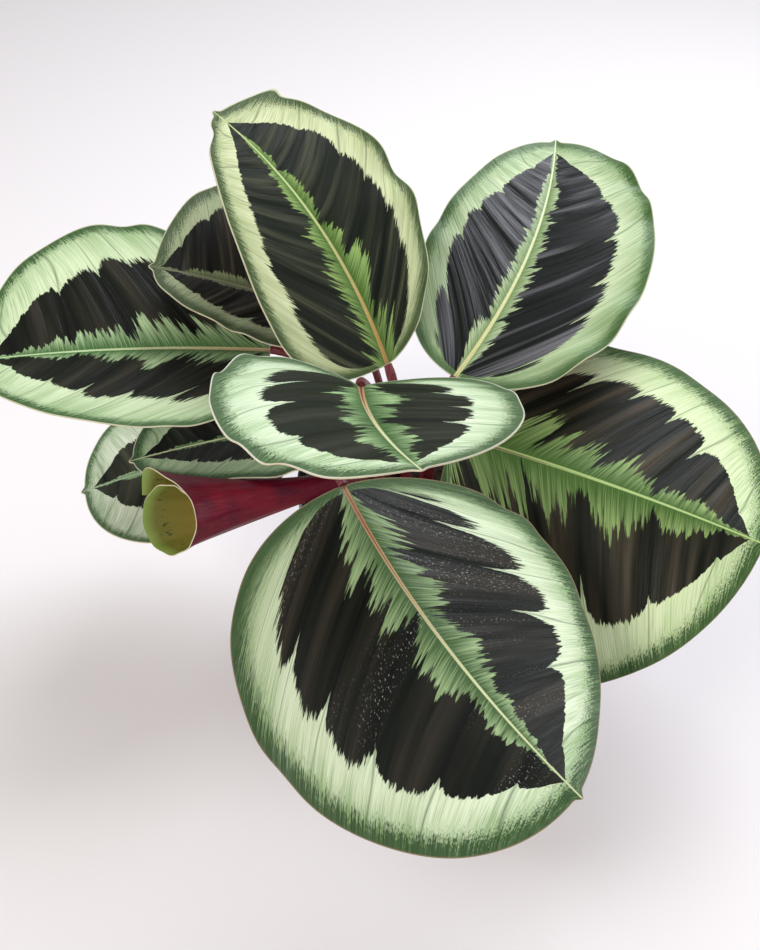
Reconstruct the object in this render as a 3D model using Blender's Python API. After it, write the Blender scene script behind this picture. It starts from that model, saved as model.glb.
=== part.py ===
"""Potted calathea: a plain nursery pot, its soil, and ten leaves, each a blade on its own petiole.

Every blade follows one rule. Its midrib is a curved line in space, its half width swells and narrows along
that line, and each half is tilted and curled about it. The newest blade is still rolled into a cone.
Metres, +Z up. The origin is the centre of the pot's foot.
"""

import math

import bmesh
import bpy
from mathutils import Matrix, Vector

MM = 0.001
GAP = 0.3 * MM  # between pieces that touch

SHARP_EDGE = 40  # degrees between faces that meet in a visible edge

# Pot and soil
POT_HEIGHT = 120 * MM
POT_RIM_RADIUS = 60 * MM
POT_FOOT_RADIUS = 43 * MM
POT_WALL = 1.6 * MM
POT_FLOOR = 2.4 * MM
RIM_BAND_HEIGHT = 14 * MM
RIM_BAND_STEP = 1.5 * MM
POT_SIDES = 48
DRAIN_HOLES = 6
DRAIN_HOLE_RADIUS = 4 * MM
DRAIN_CIRCLE_RADIUS = 28 * MM
DRAIN_HOLE_SIDES = 12
SOIL_TOP = 108 * MM
SOIL_DOME = 2 * MM
SOIL_SHOULDER = 0.6  # rings of the domed top, as shares of its radius
SOIL_CROWN = 0.25

# Blades and petioles
BLADE_THICKNESS = 1.0 * MM
BLADE_ROWS = 16
BLADE_COLUMNS = 8
BLADE_END_HALF_WIDTH = 1.5 * MM
MIDRIB_STEPS = 96
PETIOLE_RADIUS = 2.2 * MM
PETIOLE_POINTS = 12
PETIOLE_UPRIGHT = 3 * MM  # rises straight out of the soil for this far
PETIOLE_RISE_PULL = 0.4  # how far each end keeps its direction, as a share of the span
PETIOLE_BLADE_PULL = 0.3
PETIOLE_END_GAP = 0.5 * MM  # to the middle of the blade's base edge
ROLL_ROWS = 12
ROLL_COLUMNS = 32

GREEN = (0.035, 0.075, 0.03, 1.0)
CRIMSON = (0.16, 0.012, 0.03, 1.0)
MAROON = (0.09, 0.015, 0.02, 1.0)
PEAT = (0.028, 0.018, 0.012, 1.0)
CHARCOAL = (0.03, 0.031, 0.033, 1.0)


def blade(base, heading, rise, length, width, crown, **shape):
    """One blade's dimensions: millimetres and degrees.

    base is where the petiole ends, crown is where the petiole leaves the soil. heading turns from +X to +Y.
    arch and veer are how far the midrib bends down and turns left from base to tip. tilt raises the left
    half. fold and curl are the slope of each half at the midrib and its change towards the margin, close is
    how much steeper that slope is at the base than at the tip. belly is the widest place along the midrib.
    """
    values = {
        "base": Vector(base) * MM, "heading": heading, "rise": rise, "length": length * MM,
        "width": width * MM, "crown": Vector((crown[0], crown[1], 0)) * MM, "arch": 10, "veer": 0, "tilt": 0,
        "fold": (8, 8), "curl": (0, 0), "close": (0, 0), "share": (1.0, 1.0), "belly": (0.45, 0.45),
        "fullness": 0.5, "lean": 15,
    }
    values.update(shape)
    return values


# Pairs are (left half, right half), seen from above with the tip ahead.
BLADES = {
    "front": blade((-30, -96, 212), -50, -22, 166, 164, (-3, -15), arch=12, veer=28, belly=(0.48, 0.48),
                   fold=(-8, -6), curl=(-6, -14), share=(1.0, 1.05), lean=25),
    "right": blade((24, -18, 170), -25, -3, 162, 168, (12, -5), tilt=20, fold=(-6, -16), curl=(0, -10),
                   share=(0.98, 1.26)),
    "centre": blade((-22, -80, 256), -80, 29, 136, 140, (4, -11), arch=0, veer=16, tilt=-2, fold=(4, 12),
                    close=(12, 25), share=(0.8, 0.88)),
    "back_left": blade((-10, -4, 205), 138, 41, 150, 112, (1, 4), arch=31, veer=24, belly=(0.34, 0.56),
                       fullness=0.55, share=(1.02, 1.0)),
    "back_right": blade((24, -1, 194), 66, 20, 162, 136, (10, 5), veer=35, belly=(0.44, 0.44),
                        share=(0.78, 0.98)),
    "left": blade((-70, 9, 204), 181, -2, 150, 138, (-9, -2), arch=12, tilt=-4, belly=(0.4, 0.52),
                  fold=(12, 18), close=(-14, -12), share=(0.98, 1.1)),
    "upper_left": blade((-40, 25, 213), 178, 18, 92, 100, (-3, 13), arch=16, belly=(0.32, 0.6), fold=(0, 22),
                        share=(0.76, 1.22)),
    "low_left": blade((-60, 30, 127), 192, -10, 126, 108, (-18, 12), belly=(0.55, 0.55), fold=(3, 8),
                      share=(1.15, 1.0)),
    "under_left": blade((-32, 18, 150), 193, -4, 118, 88, (-16, 3), belly=(0.27, 0.45), fold=(14, 8),
                        share=(1.15, 1.0)),
}

# The rolled blade is a cone of overlapping turns, open at its far end.
ROLL_BASE = Vector((-36, -22, 139)) * MM
ROLL_CROWN = Vector((-8, -10, 0)) * MM
ROLL_HEADING = 208
ROLL_RISE = 11
ROLL_LENGTH = 96 * MM
ROLL_NECK_RADIUS = 5 * MM
ROLL_MOUTH_RADIUS = 17 * MM
ROLL_TURNS = 1.5
ROLL_TURN_SPACING = 2.4 * MM
ROLL_FLARE = 1.2
ROLL_SEAM_ANGLE = 180
ROLL_LEAN = 15


def clear_scene():
    for item in list(bpy.data.objects):
        bpy.data.objects.remove(item, do_unlink=True)


def surface(name, colour, roughness):
    material = bpy.data.materials.new(name)
    material.use_nodes = True
    shader = material.node_tree.nodes["Principled BSDF"]
    shader.inputs["Base Color"].default_value = colour
    shader.inputs["Roughness"].default_value = roughness
    return material


def finish(name, mesh, material, smooth=True):
    """A named object from a bmesh, with its normals out and its round faces smooth."""
    bmesh.ops.recalc_face_normals(mesh, faces=mesh.faces)
    data = bpy.data.meshes.new(name)
    mesh.to_mesh(data)
    mesh.free()
    if smooth:
        data.shade_smooth()
        data.set_sharp_from_angle(angle=math.radians(SHARP_EDGE))
    data.materials.append(material)
    item = bpy.data.objects.new(name, data)
    bpy.context.collection.objects.link(item)
    return item


def turned(profile, sides):
    """A solid turned about Z: rings at (radius, height), with a flat face over the first and the last."""
    mesh = bmesh.new()
    rings = []
    for radius, height in profile:
        angles = [math.tau * i / sides for i in range(sides)]
        rings.append([mesh.verts.new((radius * math.cos(a), radius * math.sin(a), height)) for a in angles])
    for low, high in zip(rings, rings[1:]):
        for i in range(sides):
            j = (i + 1) % sides
            mesh.faces.new((low[i], low[j], high[j], high[i]))
    mesh.faces.new(rings[0])
    mesh.faces.new(rings[-1])
    return mesh


def pot_radius(height):
    """Outer radius of the tapering wall at a height."""
    return POT_FOOT_RADIUS + (POT_RIM_RADIUS - RIM_BAND_STEP - POT_FOOT_RADIUS) * height / POT_HEIGHT


def make_pot(material):
    band = POT_HEIGHT - RIM_BAND_HEIGHT
    profile = [
        (pot_radius(0), 0),
        (pot_radius(band), band),
        (POT_RIM_RADIUS, band + RIM_BAND_STEP),
        (POT_RIM_RADIUS, POT_HEIGHT - RIM_BAND_STEP / 2),
        (POT_RIM_RADIUS - POT_WALL / 2, POT_HEIGHT),
        (POT_RIM_RADIUS - POT_WALL, POT_HEIGHT - RIM_BAND_STEP / 2),
        (pot_radius(band) - POT_WALL, band),
        (pot_radius(POT_FLOOR) - POT_WALL, POT_FLOOR),
    ]
    pot = finish("pot", turned(profile, POT_SIDES), material)
    for index in range(DRAIN_HOLES):
        cut_drain_hole(pot, math.tau * index / DRAIN_HOLES)
    return pot


def cut_drain_hole(pot, angle):
    mesh = bmesh.new()
    place = Matrix.Translation((DRAIN_CIRCLE_RADIUS * math.cos(angle), DRAIN_CIRCLE_RADIUS * math.sin(angle),
                                POT_FLOOR / 2))
    bmesh.ops.create_cone(mesh, cap_ends=True, segments=DRAIN_HOLE_SIDES, radius1=DRAIN_HOLE_RADIUS,
                          radius2=DRAIN_HOLE_RADIUS, depth=POT_FLOOR * 3, matrix=place)
    cutter = finish("drain_hole_cutter", mesh, pot.data.materials[0], smooth=False)
    cutter.hide_render = True
    cutter.display_type = "WIRE"
    hole = pot.modifiers.new("drain hole", "BOOLEAN")
    hole.object = cutter
    hole.operation = "DIFFERENCE"
    hole.solver = "EXACT"


def soil_height(radius):
    """The soil's top, which is slightly domed."""
    return SOIL_TOP + SOIL_DOME * (1 - (radius / POT_RIM_RADIUS) ** 2)


def make_soil(material):
    inner_floor = pot_radius(POT_FLOOR) - POT_WALL - GAP
    band = POT_HEIGHT - RIM_BAND_HEIGHT
    inner_top = pot_radius(band) - POT_WALL - GAP
    profile = [
        (inner_floor, POT_FLOOR + GAP),
        (inner_top, band),
        (inner_top, soil_height(inner_top)),
        (inner_top * SOIL_SHOULDER, soil_height(inner_top * SOIL_SHOULDER)),
        (inner_top * SOIL_CROWN, soil_height(inner_top * SOIL_CROWN)),
    ]
    return finish("potting_soil", turned(profile, POT_SIDES), material)


def direction(heading, rise):
    """Unit vector for a compass heading and a rise above level, in degrees."""
    h, r = math.radians(heading), math.radians(rise)
    return Vector((math.cos(r) * math.cos(h), math.cos(r) * math.sin(h), math.sin(r)))


def midrib_direction(leaf, s):
    return direction(leaf["heading"] + leaf["veer"] * (s - 0.5), leaf["rise"] + leaf["arch"] * (0.5 - s))


def midrib_point(leaf, s):
    """Walks along the midrib from the base, with s from 0 to 1."""
    point = leaf["base"].copy()
    steps = max(1, round(MIDRIB_STEPS * s))
    for i in range(steps):
        point += midrib_direction(leaf, s * (i + 0.5) / steps) * leaf["length"] * s / steps
    return point


def half_width(leaf, side, s):
    """How far one half reaches at s, widest at its belly."""
    u = s ** (math.log(0.5) / math.log(leaf["belly"][side]))
    swell = max(0.0, 4 * u * (1 - u)) ** leaf["fullness"]
    return max(BLADE_END_HALF_WIDTH, leaf["width"] / 2 * swell)


def blade_point(leaf, s, t):
    """A point of the blade: s runs from base to tip, t from -1 at the right margin to 1 at the left."""
    side = 0 if t > 0 else 1
    along = midrib_direction(leaf, s)
    level = Vector((-along.y, along.x, 0)).normalized()
    face = along.cross(level)
    tilt = math.radians(leaf["tilt"])
    across = level * math.cos(tilt) + face * math.sin(tilt)
    up = face * math.cos(tilt) - level * math.sin(tilt)
    slope = math.radians(leaf["fold"][side] + leaf["close"][side] * (0.5 - s))
    reach = abs(t) * half_width(leaf, side, s) * leaf["share"][side]
    # The slope changes evenly towards the margin, so a half is an arc of that mean slope.
    mean_slope = slope + math.radians(leaf["curl"][side]) * reach / leaf["width"]
    offset = across * math.copysign(reach * math.cos(mean_slope), t) + up * reach * math.sin(mean_slope)
    return midrib_point(leaf, s) + offset


def add_thickness(item):
    skin = item.modifiers.new("thickness", "SOLIDIFY")
    skin.thickness = BLADE_THICKNESS
    skin.offset = 0


def sheet(name, place, rows, columns, material):
    """A grid of faces whose corners place(row, column) gives, turned into a thin solid."""
    mesh = bmesh.new()
    grid = [[mesh.verts.new(place(r / rows, c / columns)) for c in range(columns + 1)]
            for r in range(rows + 1)]
    for low, high in zip(grid, grid[1:]):
        for c in range(columns):
            mesh.faces.new((low[c], high[c], high[c + 1], low[c + 1]))
    item = finish(name, mesh, material)
    add_thickness(item)
    return item


def make_blade(name, leaf, material):
    def place(row, column):
        # Rows crowd towards both ends, where the outline turns fastest.
        return blade_point(leaf, (1 - math.cos(math.pi * row)) / 2, 1 - 2 * column)

    return sheet("leaf_" + name, place, BLADE_ROWS, BLADE_COLUMNS, material)


def make_rolled_blade(material):
    along = direction(ROLL_HEADING, ROLL_RISE)
    level = Vector((-along.y, along.x, 0)).normalized()
    up = along.cross(level)

    def place(row, column):
        turn = ROLL_TURNS * (1 - column)
        radius = ROLL_NECK_RADIUS + (ROLL_MOUTH_RADIUS - ROLL_NECK_RADIUS) * row ** ROLL_FLARE
        radius -= ROLL_TURN_SPACING * turn
        angle = math.radians(ROLL_SEAM_ANGLE) - math.tau * turn
        outward = level * math.cos(angle) + up * math.sin(angle)
        return ROLL_BASE + along * ROLL_LENGTH * row + outward * radius

    return sheet("rolled_leaf", place, ROLL_ROWS, ROLL_COLUMNS, material)


def bezier_point(handles, u):
    """A point of the cubic curve that four handles shape."""
    weights = ((1 - u) ** 3, 3 * u * (1 - u) ** 2, 3 * u * u * (1 - u), u ** 3)
    return sum((handle * weight for handle, weight in zip(handles, weights)), Vector())


def make_petiole(name, crown, top, end_direction, lean, material):
    """A stalk that leaves the soil steeply and ends square to the blade's base.

    lean is how far from upright it starts, in degrees, towards the blade's base.
    """
    foot = Vector((crown.x, crown.y, soil_height(crown.length) + GAP))
    collar = foot + Vector((0, 0, PETIOLE_UPRIGHT))
    head = top - end_direction * PETIOLE_END_GAP
    span = (head - collar).length
    outward = Vector((head.x - collar.x, head.y - collar.y, 0)).normalized()
    start = Vector((0, 0, 1)) * math.cos(math.radians(lean)) + outward * math.sin(math.radians(lean))
    handles = [collar, collar + start * span * PETIOLE_RISE_PULL,
               head - end_direction * span * PETIOLE_BLADE_PULL, head]
    route = [foot] + [bezier_point(handles, i / (PETIOLE_POINTS - 1)) for i in range(PETIOLE_POINTS)]
    curve = bpy.data.curves.new("petiole_" + name, "CURVE")
    curve.dimensions = "3D"
    curve.bevel_depth = PETIOLE_RADIUS
    curve.bevel_resolution = 2
    curve.use_fill_caps = True
    spline = curve.splines.new("POLY")
    spline.points.add(len(route) - 1)
    for point, place in zip(spline.points, route):
        point.co = (*place, 1)
    curve.materials.append(material)
    item = bpy.data.objects.new("petiole_" + name, curve)
    bpy.context.collection.objects.link(item)
    return item


def main():
    clear_scene()
    leaf_green = surface("leaf_green", GREEN, 0.4)
    leaf_crimson = surface("leaf_crimson", CRIMSON, 0.35)
    stalk_maroon = surface("stalk_maroon", MAROON, 0.45)
    make_pot(surface("pot_charcoal", CHARCOAL, 0.5))
    make_soil(surface("soil_peat", PEAT, 0.95))
    for name, leaf in BLADES.items():
        make_blade(name, leaf, leaf_green)
        make_petiole(name, leaf["crown"], leaf["base"], midrib_direction(leaf, 0), leaf["lean"],
                     stalk_maroon)
    make_rolled_blade(leaf_crimson)
    make_petiole("rolled", ROLL_CROWN, ROLL_BASE, direction(ROLL_HEADING, ROLL_RISE), ROLL_LEAN,
                 stalk_maroon)


main()
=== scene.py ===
# %% [markdown]
# # A potted calathea
# This houseplant has ten leaves on thin maroon stalks in a plain nursery pot. Nine blades are open, and each
# carries the same painted-looking pattern: a feathered green middle, a nearly black zone with lobed edges, a
# mint band and a dark green margin. The tenth is still rolled into a crimson cone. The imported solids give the
# size and place of everything, and these cells grow the fine surfaces around them.

# %% Load the frame
import math

import bmesh
import bpy
import numpy as np
from mathutils import Matrix, Vector, noise


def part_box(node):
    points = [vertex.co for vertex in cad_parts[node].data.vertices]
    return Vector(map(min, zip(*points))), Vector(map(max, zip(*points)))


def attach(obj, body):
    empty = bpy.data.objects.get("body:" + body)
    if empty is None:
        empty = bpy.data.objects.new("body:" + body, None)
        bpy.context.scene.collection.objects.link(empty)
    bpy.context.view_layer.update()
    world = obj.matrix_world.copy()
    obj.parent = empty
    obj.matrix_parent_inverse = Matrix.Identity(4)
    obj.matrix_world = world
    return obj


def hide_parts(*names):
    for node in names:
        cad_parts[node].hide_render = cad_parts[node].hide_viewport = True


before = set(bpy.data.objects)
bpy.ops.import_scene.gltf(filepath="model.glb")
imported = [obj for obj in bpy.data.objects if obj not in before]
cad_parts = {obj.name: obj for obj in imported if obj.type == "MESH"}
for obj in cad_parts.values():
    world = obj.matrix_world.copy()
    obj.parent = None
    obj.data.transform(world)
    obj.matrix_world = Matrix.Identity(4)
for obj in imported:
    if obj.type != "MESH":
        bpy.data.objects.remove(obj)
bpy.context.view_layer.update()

MM = 0.001


# %% [markdown]
# ## Three small helpers
# Colours are written as the hex values a painter would pick, and one function turns them linear, because
# shaders add light and not paint. One more function adds a shader node with its settings and links, so that
# every material below reads as a list of steps. The last one deselects everything before a new piece starts,
# because an operator acts on all that is selected.

# %% Helpers
def linear(code):
    """A #rrggbb colour as the linear RGBA that a shader socket takes."""
    values = [int(code[i:i + 2], 16) / 255 for i in (1, 3, 5)]
    return tuple(v / 12.92 if v <= 0.04045 else ((v + 0.055) / 1.055) ** 2.4 for v in values) + (1.0,)


def add(tree, kind, inputs=None, **settings):
    """Adds a node. settings are its properties, and inputs are values, sockets, or nodes for their first output."""
    item = tree.nodes.new(kind)
    for key, value in settings.items():
        setattr(item, key, value)
    for key, value in (inputs or {}).items():
        if isinstance(value, bpy.types.Node):
            value = value.outputs[0]
        if isinstance(value, bpy.types.NodeSocket):
            tree.links.new(value, item.inputs[key])
        else:
            item.inputs[key].default_value = value
    return item


def start_clean():
    if bpy.context.object and bpy.context.object.mode != "OBJECT":
        bpy.ops.object.mode_set(mode="OBJECT")
    bpy.ops.object.select_all(action="DESELECT")


def new_material(name):
    """An empty node tree with its output, and the tree to add to."""
    material = bpy.data.materials.new(name)
    material.use_nodes = True
    material.node_tree.nodes.clear()
    add(material.node_tree, "ShaderNodeOutputMaterial")
    return material, material.node_tree


def close_material(material, shader):
    tree = material.node_tree
    output = next(n for n in tree.nodes if n.type == "OUTPUT_MATERIAL")
    tree.links.new(shader.outputs[0], output.inputs["Surface"])
    return material


# %% [markdown]
# ## Camera, floor and light
# The plant is seen from the front and above, 45 degrees down. A large soft light overhead and behind gives
# the waxy blades their broad sheen, a second one from the front left models their folds, and a pale sky fills
# the shadows, as in a bright room. The floor is one pale sheet.

# %% Camera
CAMERA_PLACE = Vector((-0.0139, -0.4606, 0.583))
CAMERA_PITCH = 45.0
CAMERA_LENS = 44.5

camera_data = bpy.data.cameras.new("camera")
camera_data.lens = CAMERA_LENS
camera_data.sensor_fit = "VERTICAL"
camera_data.sensor_height = 36.0
camera_data.clip_start = 0.01
camera = bpy.data.objects.new("camera", camera_data)
camera.location = CAMERA_PLACE
camera.rotation_euler = (math.radians(CAMERA_PITCH), 0, 0)
bpy.context.collection.objects.link(camera)
bpy.context.scene.camera = camera
print("camera looks", CAMERA_PITCH, "degrees down through", CAMERA_LENS, "mm")

# %% Lights and sky
LIGHTS = {
    # name: (place, aims at, width, power in watts, colour)
    "overhead_soft": ((0.35, 0.55, 1.15), (0, 0, 0.2), 0.8, 12, "#f2f6ff"),
    "front_left_soft": ((-0.9, -0.9, 1.1), (0, 0, 0.2), 0.8, 13, "#fffaf2"),
    "right_soft": ((1.3, 0.1, 0.55), (0, 0, 0.2), 0.7, 5, "#f6f8ff"),
}
SKY_COLOUR, SKY_STRENGTH = "#f3f1f4", 0.5

for name, (place, target, width, power, colour) in LIGHTS.items():
    lamp = bpy.data.lights.new(name, "AREA")
    lamp.shape = "DISK"
    lamp.size = width
    lamp.energy = power
    lamp.color = linear(colour)[:3]
    holder = bpy.data.objects.new(name, lamp)
    holder.location = place
    holder.rotation_euler = (Vector(target) - Vector(place)).to_track_quat("-Z", "Y").to_euler()
    bpy.context.collection.objects.link(holder)

sky = bpy.data.worlds.new("pale_room")
sky.use_nodes = True
sky.node_tree.nodes["Background"].inputs["Color"].default_value = linear(SKY_COLOUR)
sky.node_tree.nodes["Background"].inputs["Strength"].default_value = SKY_STRENGTH
bpy.context.scene.world = sky
bpy.context.scene.view_settings.view_transform = "Standard"
print(len(LIGHTS), "soft lights and a pale sky")

# %% Floor
FLOOR_SIZE = 12.0

start_clean()
bpy.ops.mesh.primitive_plane_add(size=FLOOR_SIZE, location=(0, 0, -0.0002))
floor = bpy.context.object
floor.name = "floor"
floor_paint, tree = new_material("matt floor paint")
paint_noise = add(tree, "ShaderNodeTexNoise", {"Scale": 3.0, "Detail": 2.0})
paint_tone = add(tree, "ShaderNodeMix", {"Factor": paint_noise, 6: linear("#e9e5e4"), 7: linear("#f0edec")},
                 data_type="RGBA")
close_material(floor_paint, add(tree, "ShaderNodeBsdfPrincipled",
                                {"Base Color": paint_tone.outputs[2], "Roughness": 0.8}))
floor.data.materials.append(floor_paint)
print("floor", FLOOR_SIZE, "m wide")


# %% [markdown]
# ## How a blade is shaped
# A calathea blade is a midrib that curves through space with a half swept out on each side of it. Each half
# swells to its own belly, slopes up or down from the midrib, and bends a little towards its margin. Modelling
# nine of these by pulling points would never keep the outline true, so a dense grid is shaped by a formula.
# The base, heading, rise and widths are the ones the solids were built with. The formula then adds what a
# solid 1 mm thick is too coarse for: a channel over the midrib, puffs between the side veins, a rippled
# margin, and the small drip tip.

# %% The nine open blades
def blade(base, heading, rise, length, width, **shape):
    """One blade's dimensions in millimetres and degrees. Pairs are (left half, right half)."""
    values = {
        "base": np.array(base) * MM, "heading": heading, "rise": rise, "length": length * MM,
        "width": width * MM, "arch": 10, "veer": 0, "tilt": 0, "fold": (8, 8), "curl": (0, 0),
        "close": (0, 0), "share": (1.0, 1.0), "belly": (0.45, 0.45), "fullness": 0.5,
        "ripple": (0.8, 0.8), "waves": (4, 5), "ripple_end": 0.1, "veins": 4.6, "dark_share": 0.74,
        "feather_start": 0.6, "feather_taper": 0.75, "corner": (0, 0),
    }
    values.update(shape)
    return values


BLADES = {
    "front": blade((-30, -96, 212), -50, -22, 166, 164, arch=12, veer=28, belly=(0.48, 0.48),
                   fold=(-8, -6), curl=(-6, -14), share=(1.0, 1.05), ripple=(0.9, 0.9),
                   feather_start=1.1, feather_taper=1.6),
    "right": blade((24, -18, 170), -25, -3, 162, 168, tilt=20, fold=(-6, -16), curl=(0, -10),
                   share=(0.98, 1.26), ripple=(0.8, 0.9), dark_share=0.74, feather_start=0.45,
                   feather_taper=1.2),
    "centre": blade((-22, -80, 256), -80, 29, 136, 140, arch=0, veer=16, tilt=-2, fold=(4, 12),
                    close=(12, 25), share=(0.8, 0.88), ripple=(0.4, 1.6), waves=(3, 6), veins=3.7,
                    dark_share=0.7),
    "back_left": blade((-10, -4, 205), 138, 41, 150, 112, arch=31, veer=24, belly=(0.34, 0.56),
                       fullness=0.55, share=(1.02, 1.0), ripple=(0.8, 3.2), waves=(4, 5), ripple_end=0.03,
                       veins=5.5, corner=(-6, 11), feather_start=0.5, feather_taper=1.3),
    "back_right": blade((24, -1, 194), 66, 20, 162, 136, veer=35, belly=(0.44, 0.44),
                        share=(0.78, 0.98), ripple=(0.9, 2.8), waves=(5, 6)),
    "left": blade((-70, 9, 204), 181, -2, 150, 138, arch=12, tilt=-4, belly=(0.4, 0.52), fold=(12, 18),
                  close=(-14, -12), share=(0.98, 1.1), ripple=(0.9, 1.4), dark_share=0.7,
                  feather_start=0.5, feather_taper=1.1),
    "upper_left": blade((-40, 25, 213), 178, 18, 92, 100, arch=16, belly=(0.32, 0.6), fold=(0, 22),
                        share=(0.76, 1.22), ripple=(1.0, 2.4), waves=(5, 5), ripple_end=0.05),
    "low_left": blade((-60, 30, 127), 192, -10, 126, 108, belly=(0.55, 0.55), fold=(3, 8),
                      share=(1.15, 1.0), dark_share=0.6),
    "under_left": blade((-32, 18, 150), 193, -4, 118, 88, belly=(0.27, 0.45), share=(1.15, 1.0),
                        fold=(14, 8), ripple=(1.8, 1.2), dark_share=0.66),
}
print(len(BLADES), "open blades")

# %% The formula for a blade's surface
END_HALF_WIDTH = 1.5 * MM
MIDRIB_STEPS = 400
CHANNEL_DEPTH, CHANNEL_WIDTH = 0.9 * MM, 2.6 * MM
PUFF_HEIGHT, PLEAT_HEIGHT = 1.0 * MM, 0.25 * MM
TIP_LENGTH, TIP_REACH, TIP_WIDTH = 2.5 * MM, 6 * MM, 2.0 * MM
SCALLOP = 0.007  # of the half width
CORNER_PLACE, CORNER_LENGTH = 0.95, 0.03  # where a margin juts out or draws in near the tip


def directions(heading, rise):
    """Unit vectors for compass headings and rises above level, in degrees."""
    h, r = np.radians(heading), np.radians(rise)
    return np.stack([np.cos(r) * np.cos(h), np.cos(r) * np.sin(h), np.sin(r)], axis=-1)


def midrib_directions(leaf, s):
    return directions(leaf["heading"] + leaf["veer"] * (s - 0.5), leaf["rise"] + leaf["arch"] * (0.5 - s))


def midrib_points(leaf, s):
    """Places along the midrib, with s from 0 at the stalk to 1 at the tip."""
    steps = np.linspace(0, 1, MIDRIB_STEPS + 1)
    walked = np.cumsum(midrib_directions(leaf, (steps[1:] + steps[:-1]) / 2), axis=0) / MIDRIB_STEPS
    path = leaf["base"] + np.vstack([np.zeros(3), walked]) * leaf["length"]
    return np.stack([np.interp(s, steps, path[:, axis]) for axis in range(3)], axis=-1)


def side_values(pair, t):
    return np.where(t > 0, pair[0], pair[1])


def half_widths(leaf, s, t):
    """How far the half on t's side reaches at s."""
    u = s ** (math.log(0.5) / np.log(side_values(leaf["belly"], t)))
    swell = np.maximum(0, 4 * u * (1 - u)) ** leaf["fullness"]
    return np.maximum(END_HALF_WIDTH, leaf["width"] / 2 * swell) * side_values(leaf["share"], t)


VEIN_SWEEP = 0.5  # how far along the blade a side vein runs before it meets the margin


def vein_numbers(leaf, s, t):
    """Which side vein passes through a point, counted where the vein leaves the midrib."""
    sweep = VEIN_SWEEP * np.abs(t) ** 1.1
    return (s - sweep) / (1 - sweep) * leaf["veins"]


def blade_surface(leaf, s, t):
    """Points of the blade in metres, for s from base to tip and t from -1, right margin, to 1, left."""
    along = midrib_directions(leaf, s)
    level = np.stack([-along[:, 1], along[:, 0], np.zeros(len(s))], axis=-1)
    level /= np.linalg.norm(level, axis=1, keepdims=True)
    face = np.cross(along, level)
    tilt = math.radians(leaf["tilt"])
    across = level * math.cos(tilt) + face * math.sin(tilt)
    up = face * math.cos(tilt) - level * math.sin(tilt)
    half = half_widths(leaf, s, t)
    edge = np.abs(t)
    veins = vein_numbers(leaf, s, t)
    body = np.clip(s / 0.2, 0, 1) * np.clip((1 - s) / leaf["ripple_end"], 0, 1)
    wave_count = side_values(leaf["waves"], t)
    bend = 0.9 * np.sin(7.1 * s + wave_count) + 0.5 * np.sin(17.3 * s + 2 * wave_count)
    wave = np.sin(math.tau * wave_count * s + bend) * (0.65 + 0.35 * np.sin(9.7 * s + 3 * wave_count))
    reach = edge * half * (1 + SCALLOP * wave * edge ** 4 * body)
    jut = side_values(leaf["corner"], t) * MM * np.exp(-((s - CORNER_PLACE) / CORNER_LENGTH) ** 2)
    reach = np.maximum(reach + jut * edge ** 3, edge * 0.3 * half)
    slope = np.radians(side_values(leaf["fold"], t) + side_values(leaf["close"], t) * (0.5 - s))
    mean_slope = slope + np.radians(side_values(leaf["curl"], t)) * reach / leaf["width"]
    side = np.where(t > 0, 1.0, -1.0)
    place = midrib_points(leaf, s)
    place += across * (side * reach * np.cos(mean_slope))[:, None] + up * (reach * np.sin(mean_slope))[:, None]
    ripple = side_values(leaf["ripple"], t) * MM * wave * edge ** 5 * body
    puff = PUFF_HEIGHT * (np.abs(np.sin(math.pi * veins)) ** 0.7 - 0.6)
    puff += PLEAT_HEIGHT * np.cos(math.tau * 4 * veins)
    puff *= np.clip(edge * 5, 0, 1) * (1 - edge ** 3)
    channel = -CHANNEL_DEPTH * np.exp(-(reach / CHANNEL_WIDTH) ** 2) * (1 - s)
    lift = ripple + puff * np.clip(s / 0.15, 0, 1) * np.clip((1 - s) / 0.15, 0, 1) + channel
    skin = up * np.cos(mean_slope)[:, None] - across * (side * np.sin(mean_slope))[:, None]
    drip = TIP_LENGTH * np.exp(-((1 - s) * leaf["length"] / TIP_REACH) ** 2) * np.exp(-(reach / TIP_WIDTH) ** 2)
    return place + skin * lift[:, None] + along * drip[:, None]


# %% [markdown]
# ## Coordinates for the pattern
# The pattern on a calathea follows its veins, so it can't be drawn in flat space. Four UV maps carry it.
# "vein" counts side veins along the midrib and runs 0 to 1 from midrib to margin. "zone" is 1 along the edge
# of the dark zone and along the edge of the feathered middle. "rim" is the real distance to the margin and to
# the midrib in centimetres, and "place" is the share of the way from base to tip. The shader then only has
# to roughen those edges.

# %% Pattern coordinates
DARK_START, DARK_END = 0.02, 0.955  # where the dark zone begins and ends on the midrib
FEATHER_END = 0.97
FEATHER_SHARE = 0.30


def dark_reach(leaf, s, t):
    """Where the dark zone's edge lies at s, as a distance from the midrib."""
    inner = np.clip((s - DARK_START) / (DARK_END - DARK_START), 1e-4, 1 - 1e-4)
    u = inner ** (math.log(0.5) / np.log(side_values(leaf["belly"], t)))
    swell = (4 * u * (1 - u)) ** (0.6 + 0.5 * s ** 3)
    return leaf["dark_share"] * leaf["width"] / 2 * side_values(leaf["share"], t) * swell


def feather_reach(leaf, s, t):
    """Where the feathered middle ends at s, as a distance from the midrib."""
    u = np.clip(s / FEATHER_END, 1e-4, 1 - 1e-4)
    rise = leaf["feather_start"]
    swell = ((u + 0.03) / 0.5) ** rise * ((1 - u) / 0.55) ** leaf["feather_taper"] * 0.8
    return FEATHER_SHARE * leaf["width"] / 2 * side_values(leaf["share"], t) * swell


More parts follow.
